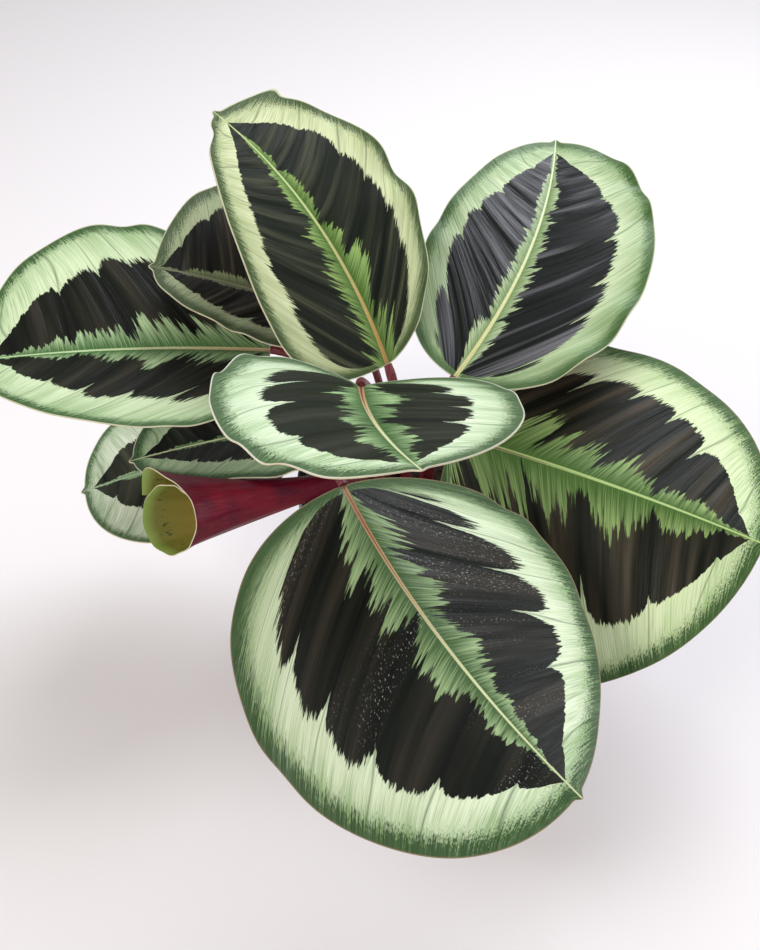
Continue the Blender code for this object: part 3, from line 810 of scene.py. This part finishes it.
def grow_rolled_leaf():
    start_clean()
    bpy.ops.mesh.primitive_grid_add(x_subdivisions=110, y_subdivisions=200, size=1)
    item = bpy.context.object
    item.name = "rolled_blade"
    mesh = item.data
    mesh.name = item.name
    mesh.uv_layers.remove(mesh.uv_layers[0])
    flat = np.zeros(len(mesh.vertices) * 3)
    mesh.vertices.foreach_get("co", flat)
    flat = flat.reshape(-1, 3)
    row, column = flat[:, 0] + 0.5, flat[:, 1] + 0.5
    turn = ROLL_TURNS * (1 - column)
    row = row * (1 - INNER_SHORT * np.clip((turn - 1.25) / 0.1, 0, 1))
    angle = math.radians(ROLL_SEAM_ANGLE) - math.tau * turn
    flap = np.exp(-((turn - FLAP_PLACE) / FLAP_SHARE) ** 2)
    radius = ROLL_NECK_RADIUS + (ROLL_MOUTH_RADIUS - ROLL_NECK_RADIUS) * row ** ROLL_FLARE
    radius = radius - ROLL_TURN_SPACING * turn + FLAP_LIFT * flap * row ** 3 + LIP_CURL * row ** 14
    radius += 0.35 * MM * np.sin(9 * angle + 4 * row) * row
    reach = ROLL_LENGTH * row + (FLAP_LENGTH * flap - MOUTH_SLANT * np.cos(angle - math.radians(
        MOUTH_SLANT_ANGLE))) * row ** 4
    along = directions(np.array([ROLL_HEADING]), np.array([ROLL_RISE]))[0]
    level = np.array([-along[1], along[0], 0])
    level /= np.linalg.norm(level)
    up = np.cross(along, level)
    outward = np.cos(angle)[:, None] * level + np.sin(angle)[:, None] * up
    mesh.vertices.foreach_set("co", (ROLL_BASE + along * reach[:, None] + outward * radius[:, None]).ravel())
    corner = np.zeros(len(mesh.loops), int)
    mesh.loops.foreach_get("vertex_index", corner)
    write_uv(mesh, "roll", row[corner], turn[corner])
    skin = item.modifiers.new("thickness", "SOLIDIFY")
    skin.thickness = BLADE_THICKNESS
    skin.offset = 0
    skin.material_offset = 1
    skin.material_offset_rim = 2
    return item


rolled = grow_rolled_leaf()
print("rolled leaf wound", ROLL_TURNS, "turns")

# %% Materials of the rolled leaf
def roll_inside():
    material, tree = new_material("young calathea leaf, upper skin")
    roll_map = add(tree, "ShaderNodeUVMap", uv_map="roll")
    roll = add(tree, "ShaderNodeSeparateXYZ", {0: roll_map})
    place = add(tree, "ShaderNodeMapping", {0: roll_map, "Scale": (9, 14, 1)})
    cloud = add(tree, "ShaderNodeTexNoise", {0: place, "Scale": 1.0, "Detail": 3.0})
    depth = add(tree, "ShaderNodeMapRange", {0: roll.outputs[0], 1: 0.78, 2: 0.96, 3: 0.0, 4: 1.0})
    tone = add(tree, "ShaderNodeMix", {0: depth, 6: linear("#a88a40"), 7: linear("#56601e")}, data_type="RGBA")
    mottled = add(tree, "ShaderNodeMix", {0: cloud, 6: tone.outputs[2], 7: linear("#86823a")}, data_type="RGBA")
    spot_place = add(tree, "ShaderNodeMapping", {0: roll_map, "Scale": (30, 60, 1)})
    spot = add(tree, "ShaderNodeTexNoise", {0: spot_place, "Scale": 1.0, "Detail": 1.0})
    near_rim = add(tree, "ShaderNodeMapRange", {0: roll.outputs[0], 1: 0.88, 2: 0.92, 3: 0.0, 4: 1.0})
    past_rim = add(tree, "ShaderNodeMapRange", {0: roll.outputs[0], 1: 0.94, 2: 0.96, 3: 1.0, 4: 0.0})
    ring = add(tree, "ShaderNodeMath", {0: near_rim, 1: past_rim}, operation="MULTIPLY")
    dark_spot = add(tree, "ShaderNodeMapRange", {0: spot, 1: 0.62, 2: 0.66, 3: 0.0, 4: 0.8})
    spotted = add(tree, "ShaderNodeMath", {0: ring, 1: dark_spot}, operation="MULTIPLY")
    final = add(tree, "ShaderNodeMix", {0: spotted, 6: mottled.outputs[2], 7: linear("#25301d")},
                data_type="RGBA")
    lip = add(tree, "ShaderNodeMapRange", {0: roll.outputs[0], 1: 0.95, 2: 1.0, 3: 0.0, 4: 0.8})
    final = add(tree, "ShaderNodeMix", {0: lip, 6: final.outputs[2], 7: linear("#8fae52")}, data_type="RGBA")
    bump = add(tree, "ShaderNodeBump", {"Height": cloud, "Strength": 0.3, "Distance": 0.0006})
    return close_material(material, add(tree, "ShaderNodeBsdfPrincipled",
                                        {"Base Color": final.outputs[2], "Roughness": 0.42, "Normal": bump}))


def roll_outside():
    material, tree = new_material("young calathea leaf, crimson underside")
    roll_map = add(tree, "ShaderNodeUVMap", uv_map="roll")
    place = add(tree, "ShaderNodeMapping", {0: roll_map, "Scale": (3, 2.2, 1)})
    cloud = add(tree, "ShaderNodeTexNoise", {0: place, "Scale": 1.0, "Detail": 3.0})
    hair_place = add(tree, "ShaderNodeMapping", {0: roll_map, "Rotation": (0, 0, 0.5), "Scale": (8, 90, 1)})
    hair = add(tree, "ShaderNodeTexNoise", {0: hair_place, "Scale": 1.0, "Detail": 2.0})
    share = add(tree, "ShaderNodeMapRange", {0: cloud, 1: 0.35, 2: 0.65, 3: 0.0, 4: 1.0})
    tone = add(tree, "ShaderNodeMix", {0: share, 6: linear("#7c0b20"), 7: linear("#40071f")}, data_type="RGBA")
    fine = add(tree, "ShaderNodeMapRange", {0: hair, 1: 0.45, 2: 0.7, 3: 0.0, 4: 0.35})
    final = add(tree, "ShaderNodeMix", {0: fine, 6: tone.outputs[2], 7: linear("#9c2440")}, data_type="RGBA")
    bump = add(tree, "ShaderNodeBump", {"Height": hair, "Strength": 0.3, "Distance": 0.0005})
    return close_material(material, add(tree, "ShaderNodeBsdfPrincipled",
                                        {"Base Color": final.outputs[2], "Roughness": 0.4, "Normal": bump,
                                         "Specular IOR Level": 0.2}))


for skin in (roll_inside(), roll_outside(), leaf_rim):
    rolled.data.materials.append(skin)
settle(rolled, "rolled_leaf")

# %% [markdown]
# ## The stalks
# A calathea's stalks rise straight from the soil, wrapped at the foot by a sheath, then lean out and end in a
# short swollen joint that turns the blade to the light. Each is a curve with a radius at every point, which
# gives the sheath and the joint their swelling, and follows the route of its solid.

# %% Grow the stalks
CROWNS = {
    # name: where it leaves the soil in mm, and its lean outwards in degrees
    "front": (-3, -15, 25), "right": (12, -5, 15), "centre": (4, -11, 15), "back_left": (1, 4, 15),
    "back_right": (10, 5, 15), "left": (-9, -2, 15), "upper_left": (-3, 13, 15), "low_left": (-18, 12, 15),
    "under_left": (-16, 3, 15), "rolled": (-8, -10, 15),
}
POT_HEIGHT, POT_RIM_RADIUS, POT_FOOT_RADIUS, POT_WALL = 120 * MM, 60 * MM, 43 * MM, 1.6 * MM
SOIL_TOP, SOIL_DOME = 108 * MM, 2 * MM
STALK_UPRIGHT, STALK_RISE_PULL, STALK_BLADE_PULL, STALK_END_GAP = 3 * MM, 0.4, 0.3, 0.5 * MM
STALK_ROWS = 48
STALK_RADIUS = 2.1 * MM
SHEATH_SWELL, JOINT_SWELL, JOINT_LENGTH = 1.1 * MM, 0.45 * MM, 13 * MM


def soil_height(radius):
    return SOIL_TOP + SOIL_DOME * (1 - (radius / POT_RIM_RADIUS) ** 2)


def stalk_route(crown_x, crown_y, lean, top, end_direction):
    """Points from the soil to the blade: a short upright foot, then one smooth cubic curve."""
    x, y = crown_x * MM, crown_y * MM
    foot = np.array([x, y, soil_height(math.hypot(x, y)) - 1 * MM])
    collar = foot + np.array([0, 0, STALK_UPRIGHT + 1.3 * MM])
    head = top - end_direction * STALK_END_GAP
    span = np.linalg.norm(head - collar)
    outward = np.array([head[0] - collar[0], head[1] - collar[1], 0])
    outward /= np.linalg.norm(outward)
    lean = math.radians(lean)
    start = np.array([0, 0, math.cos(lean)]) + outward * math.sin(lean)
    handles = [collar, collar + start * span * STALK_RISE_PULL,
               head - end_direction * span * STALK_BLADE_PULL, head + end_direction * STALK_END_GAP]
    u = np.linspace(0, 1, STALK_ROWS)[:, None]
    curve = ((1 - u) ** 3 * handles[0] + 3 * u * (1 - u) ** 2 * handles[1] + 3 * u * u * (1 - u) * handles[2]
             + u ** 3 * handles[3])
    return np.vstack([foot, curve])


def grow_stalk(name, top, end_direction):
    crown_x, crown_y, lean = CROWNS[name]
    points = stalk_route(crown_x, crown_y, lean, top, end_direction)
    run = np.concatenate([[0], np.cumsum(np.linalg.norm(np.diff(points, axis=0), axis=1))])
    whole = run[-1]
    sheath = SHEATH_SWELL * np.clip(1 - run / (0.3 * whole), 0, 1) ** 1.5
    joint = JOINT_SWELL * np.exp(-((whole - JOINT_LENGTH * 0.6 - run) / (JOINT_LENGTH * 0.45)) ** 4)
    return tube("stalk_" + name, points, STALK_RADIUS + sheath + joint)


def stalk_skin():
    material, tree = new_material("maroon calathea stalk")
    place = add(tree, "ShaderNodeTexCoord")
    stretched = add(tree, "ShaderNodeMapping", {0: place.outputs["Object"], "Scale": (900, 900, 90)})
    streak = add(tree, "ShaderNodeTexNoise", {0: stretched, "Scale": 1.0, "Detail": 3.0})
    broad = add(tree, "ShaderNodeTexNoise", {0: place.outputs["Object"], "Scale": 28.0, "Detail": 1.0})
    tone = add(tree, "ShaderNodeMix", {0: broad, 6: linear("#3a0c15"), 7: linear("#7c1f33")}, data_type="RGBA")
    fine = add(tree, "ShaderNodeMapRange", {0: streak, 1: 0.45, 2: 0.75, 3: 0.0, 4: 0.5})
    final = add(tree, "ShaderNodeMix", {0: fine, 6: tone.outputs[2], 7: linear("#8d5a45")}, data_type="RGBA")
    bump = add(tree, "ShaderNodeBump", {"Height": streak, "Strength": 0.4, "Distance": 0.0004})
    return close_material(material, add(tree, "ShaderNodeBsdfPrincipled",
                                        {"Base Color": final.outputs[2], "Roughness": 0.4, "Normal": bump}))


stalk_maroon = stalk_skin()
for name in CROWNS:
    if name == "rolled":
        stalk = grow_stalk(name, ROLL_BASE, directions(np.array([ROLL_HEADING]), np.array([ROLL_RISE]))[0])
    else:
        leaf = BLADES[name]
        stalk = grow_stalk(name, leaf["base"], midrib_directions(leaf, np.array([0.0]))[0])
    stalk.data.materials.append(stalk_maroon)
    settle(stalk, "petiole_" + name)

# %% [markdown]
# ## The soil
# Potting soil is dark, crumbly peat with chips of bark and white beads of perlite. A grid is rounded into a
# disc and roughened with noise for the bed, its border is extruded down to close it, and a few hundred
# crumbs, each a squashed icosphere of 20 faces, are scattered on top from a fixed seed.

# %% Soil bed
SOIL_GAP = 0.3 * MM
SOIL_GRID = 96
BAND_HEIGHT = 14 * MM
RIM_STEP = 1.5 * MM
POT_FLOOR = 2.4 * MM


def pot_radius(height):
    """Outer radius of the tapering wall at a height."""
    return POT_FOOT_RADIUS + (POT_RIM_RADIUS - RIM_STEP - POT_FOOT_RADIUS) * height / POT_HEIGHT


def rounded_to_disc(x, y):
    """Moves a square's points onto a disc without bunching them in the middle."""
    return x * np.sqrt(1 - y * y / 2), y * np.sqrt(1 - x * x / 2)


def make_soil_bed():
    inner = pot_radius(POT_HEIGHT - BAND_HEIGHT) - POT_WALL - SOIL_GAP
    start_clean()
    bpy.ops.mesh.primitive_grid_add(x_subdivisions=SOIL_GRID, y_subdivisions=SOIL_GRID, size=2)
    item = bpy.context.object
    item.name = "soil_bed"
    item.data.uv_layers.remove(item.data.uv_layers[0])
    for corner in item.data.vertices:
        x, y = rounded_to_disc(corner.co.x, corner.co.y)
        x, y = x * inner, y * inner
        r = math.hypot(x, y)
        rough = noise.fractal(Vector((x, y, 0)) * 160, 1.0, 2.0, 4) * 1.3 * MM
        fade = min(1.0, (inner - r) / (3 * MM))
        corner.co = (x, y, soil_height(r) - 0.6 * MM + rough * fade)
    bpy.ops.object.mode_set(mode="EDIT")
    bpy.ops.mesh.select_all(action="DESELECT")
    bpy.ops.mesh.select_mode(type="EDGE")
    bpy.ops.mesh.select_non_manifold()
    bpy.ops.mesh.extrude_region_move(TRANSFORM_OT_translate={"value": (0, 0, -60 * MM)})
    narrow = (pot_radius(45 * MM) - POT_WALL - SOIL_GAP) / inner
    bpy.ops.transform.resize(value=(narrow, narrow, 1), center_override=(0, 0, 0))
    bpy.ops.mesh.edge_face_add()
    bpy.ops.mesh.select_all(action="SELECT")
    bpy.ops.mesh.normals_make_consistent(inside=False)
    bpy.ops.object.mode_set(mode="OBJECT")
    return item


def peat():
    material, tree = new_material("damp peat potting soil")
    place = add(tree, "ShaderNodeTexCoord")
    grit = add(tree, "ShaderNodeTexNoise", {0: place.outputs["Object"], "Scale": 420.0, "Detail": 5.0})
    lump = add(tree, "ShaderNodeTexVoronoi", {0: place.outputs["Object"], "Scale": 330.0})
    tone = add(tree, "ShaderNodeMix", {0: grit, 6: linear("#160f0b"), 7: linear("#4a3628")}, data_type="RGBA")
    fibre = add(tree, "ShaderNodeMapRange", {0: lump, 1: 0.0, 2: 0.5, 3: 0.35, 4: 0.0})
    final = add(tree, "ShaderNodeMix", {0: fibre, 6: tone.outputs[2], 7: linear("#6a4c34")}, data_type="RGBA")
    bump = add(tree, "ShaderNodeBump", {"Height": grit, "Strength": 0.8, "Distance": 0.0012})
    return close_material(material, add(tree, "ShaderNodeBsdfPrincipled",
                                        {"Base Color": final.outputs[2], "Roughness": 0.95, "Normal": bump}))


soil_bed = make_soil_bed()
soil_bed.data.materials.append(peat())
settle(soil_bed, "potting_soil")

# %% Crumbs, bark chips and perlite
CRUMB_KINDS = {
    # name: (count, smallest mm, largest mm, flatness, colour, light colour)
    "peat_crumbs": (260, 1.0, 2.6, 0.8, "#1d140e", "#3d2b1f"),
    "bark_chips": (60, 2.2, 4.2, 0.45, "#3a2417", "#6e4a30"),
    "perlite_beads": (70, 0.9, 2.0, 0.9, "#c9c5ba", "#efece4"),
}


def crumb_finish(name, low, high, rough):
    material, tree = new_material(name.replace("_", " "))
    place = add(tree, "ShaderNodeTexCoord")
    grain = add(tree, "ShaderNodeTexNoise", {0: place.outputs["Object"], "Scale": 300.0, "Detail": 3.0})
    tone = add(tree, "ShaderNodeMix", {0: grain, 6: linear(low), 7: linear(high)}, data_type="RGBA")
    bump = add(tree, "ShaderNodeBump", {"Height": grain, "Strength": 0.6, "Distance": 0.0006})
    return close_material(material, add(tree, "ShaderNodeBsdfPrincipled",
                                        {"Base Color": tone.outputs[2], "Roughness": rough, "Normal": bump}))


def scatter_crumbs(name, count, smallest, largest, flatness, random):
    """One piece made of many squashed icospheres lying on the soil."""
    start_clean()
    bpy.ops.mesh.primitive_ico_sphere_add(subdivisions=1, radius=1)
    seed = bpy.context.object
    seed.data.uv_layers.remove(seed.data.uv_layers[0])
    crumbs = []
    for _ in range(count):
        r = 54 * MM * math.sqrt(random.random())
        turn = random.random() * math.tau
        size = (smallest + (largest - smallest) * random.random() ** 2) * MM / 2
        copy = seed.copy()
        copy.data = seed.data.copy()
        bpy.context.collection.objects.link(copy)
        for corner in copy.data.vertices:
            corner.co *= 1 + 0.25 * (random.random() - 0.5)
        stretch = 0.7 + 0.8 * random.random()
        spin = Matrix.Rotation(random.random() * math.tau, 4, "Z") @ Matrix.Rotation(random.random() - 0.5, 4, "X")
        shape = Matrix.Diagonal((size * stretch, size, size * flatness, 1))
        here = Matrix.Translation((r * math.cos(turn), r * math.sin(turn), soil_height(r) + size * 0.1))
        copy.data.transform(here @ spin @ shape)
        crumbs.append(copy)
    bpy.data.objects.remove(seed)
    start_clean()
    for crumb in crumbs:
        crumb.select_set(True)
    bpy.context.view_layer.objects.active = crumbs[0]
    bpy.ops.object.join()
    crumbs[0].name = name
    return crumbs[0]


random = np.random.default_rng(7)
for name, (count, smallest, largest, flatness, low, high) in CRUMB_KINDS.items():
    crumbs = scatter_crumbs(name, count, smallest, largest, flatness, random)
    crumbs.data.materials.append(crumb_finish(name, low, high, 0.9))
    settle(crumbs, None)
    print(count, name)

# %% [markdown]
# ## The pot
# The pot is a plain nursery pot, formed from a sheet of charcoal polypropylene: a thin tapered wall, a deeper
# band at the rim with a rolled lip, fine ribs that stiffen the wall, and holes in its floor. A half profile
# is spun round the axis, as a thrower would see it, and the holes are cut with a Boolean.

# %% Spin the pot
POT_STEPS = 120
DRAIN_HOLES, DRAIN_HOLE_RADIUS, DRAIN_CIRCLE_RADIUS = 6, 4 * MM, 28 * MM
FOOT_STEP, FOOT_HEIGHT = 0.8 * MM, 5 * MM
RIB_HEIGHTS = (38 * MM, 72 * MM)
RIB_PROUD = 0.35 * MM


def pot_profile():
    """Radius and height from the middle of the floor's underside, out, up, over the rim and back inside."""
    band = POT_HEIGHT - BAND_HEIGHT
    outside = [(0, 1.2 * MM), (pot_radius(0) - 7 * MM, 1.2 * MM), (pot_radius(0) - 5.5 * MM, 0),
               (pot_radius(0) - 1.2 * MM, 0), (pot_radius(0) - 0.3 * MM, 0.4 * MM),
               (pot_radius(FOOT_HEIGHT) - FOOT_STEP, FOOT_HEIGHT - 0.8 * MM), (pot_radius(FOOT_HEIGHT), FOOT_HEIGHT)]
    for height in RIB_HEIGHTS:
        outside += [(pot_radius(height - 1.2 * MM), height - 1.2 * MM),
                    (pot_radius(height) + RIB_PROUD, height - 0.5 * MM),
                    (pot_radius(height) + RIB_PROUD, height + 0.5 * MM),
                    (pot_radius(height + 1.2 * MM), height + 1.2 * MM)]
    rim = [(pot_radius(band), band), (POT_RIM_RADIUS - 0.5 * MM, band + 0.3 * MM),
           (POT_RIM_RADIUS - 0.1 * MM, band + 1.2 * MM), (POT_RIM_RADIUS - 0.1 * MM, POT_HEIGHT - 3.2 * MM),
           (POT_RIM_RADIUS, POT_HEIGHT - 2.4 * MM), (POT_RIM_RADIUS, POT_HEIGHT - 0.8 * MM),
           (POT_RIM_RADIUS - 0.3 * MM, POT_HEIGHT - 0.2 * MM), (POT_RIM_RADIUS - 0.8 * MM, POT_HEIGHT),
           (POT_RIM_RADIUS - 1.3 * MM, POT_HEIGHT - 0.2 * MM), (POT_RIM_RADIUS - POT_WALL, POT_HEIGHT - 0.9 * MM)]
    inside = [(POT_RIM_RADIUS - POT_WALL, band + 0.8 * MM), (pot_radius(band) - POT_WALL, band - 0.6 * MM),
              (pot_radius(POT_FLOOR) - POT_WALL, POT_FLOOR + 1 * MM),
              (pot_radius(POT_FLOOR) - POT_WALL - 1 * MM, POT_FLOOR), (0, POT_FLOOR)]
    return outside + rim + inside


def make_pot():
    start_clean()
    bpy.ops.mesh.primitive_plane_add(size=1)
    item = bpy.context.object
    item.name = "nursery_pot"
    shape = bmesh.new()
    corners = [shape.verts.new((radius, 0, height)) for radius, height in pot_profile()]
    for low, high in zip(corners, corners[1:]):
        shape.edges.new((low, high))
    shape.to_mesh(item.data)
    shape.free()
    bpy.ops.object.mode_set(mode="EDIT")
    bpy.ops.mesh.select_all(action="SELECT")
    bpy.ops.mesh.spin(steps=POT_STEPS, angle=math.tau, center=(0, 0, 0), axis=(0, 0, 1))
    bpy.ops.mesh.select_all(action="SELECT")
    bpy.ops.mesh.remove_doubles(threshold=0.00002)
    bpy.ops.mesh.normals_make_consistent(inside=False)
    bpy.ops.object.mode_set(mode="OBJECT")
    return item


def drill(item):
    for index in range(DRAIN_HOLES):
        angle = math.tau * index / DRAIN_HOLES
        start_clean()
        bpy.ops.mesh.primitive_cylinder_add(
            vertices=32, radius=DRAIN_HOLE_RADIUS, depth=POT_FLOOR * 4,
            location=(DRAIN_CIRCLE_RADIUS * math.cos(angle), DRAIN_CIRCLE_RADIUS * math.sin(angle), POT_FLOOR))
        cutter = bpy.context.object
        hole = item.modifiers.new("hole", "BOOLEAN")
        hole.object = cutter
        apply_modifiers(item)
        bpy.data.objects.remove(cutter)


def polypropylene():
    material, tree = new_material("charcoal polypropylene, vacuum formed")
    place = add(tree, "ShaderNodeTexCoord")
    grain = add(tree, "ShaderNodeTexNoise", {0: place.outputs["Object"], "Scale": 900.0, "Detail": 3.0})
    scuff_place = add(tree, "ShaderNodeMapping", {0: place.outputs["Object"], "Scale": (60, 60, 14)})
    scuff = add(tree, "ShaderNodeTexNoise", {0: scuff_place, "Scale": 1.0, "Detail": 6.0, "Roughness": 0.7})
    dust = add(tree, "ShaderNodeMapRange", {0: scuff, 1: 0.5, 2: 0.8, 3: 0.0, 4: 0.5})
    tone = add(tree, "ShaderNodeMix", {0: dust, 6: linear("#2b2c2e"), 7: linear("#5a5753")}, data_type="RGBA")
    rough = add(tree, "ShaderNodeMapRange", {0: scuff, 1: 0.3, 2: 0.8, 3: 0.42, 4: 0.66})
    bump = add(tree, "ShaderNodeBump", {"Height": grain, "Strength": 0.25, "Distance": 0.0004})
    return close_material(material, add(tree, "ShaderNodeBsdfPrincipled",
                                        {"Base Color": tone.outputs[2], "Roughness": rough, "Normal": bump,
                                         "IOR": 1.49}))


pot = make_pot()
drill(pot)
pot.data.materials.append(polypropylene())
settle(pot, "pot")
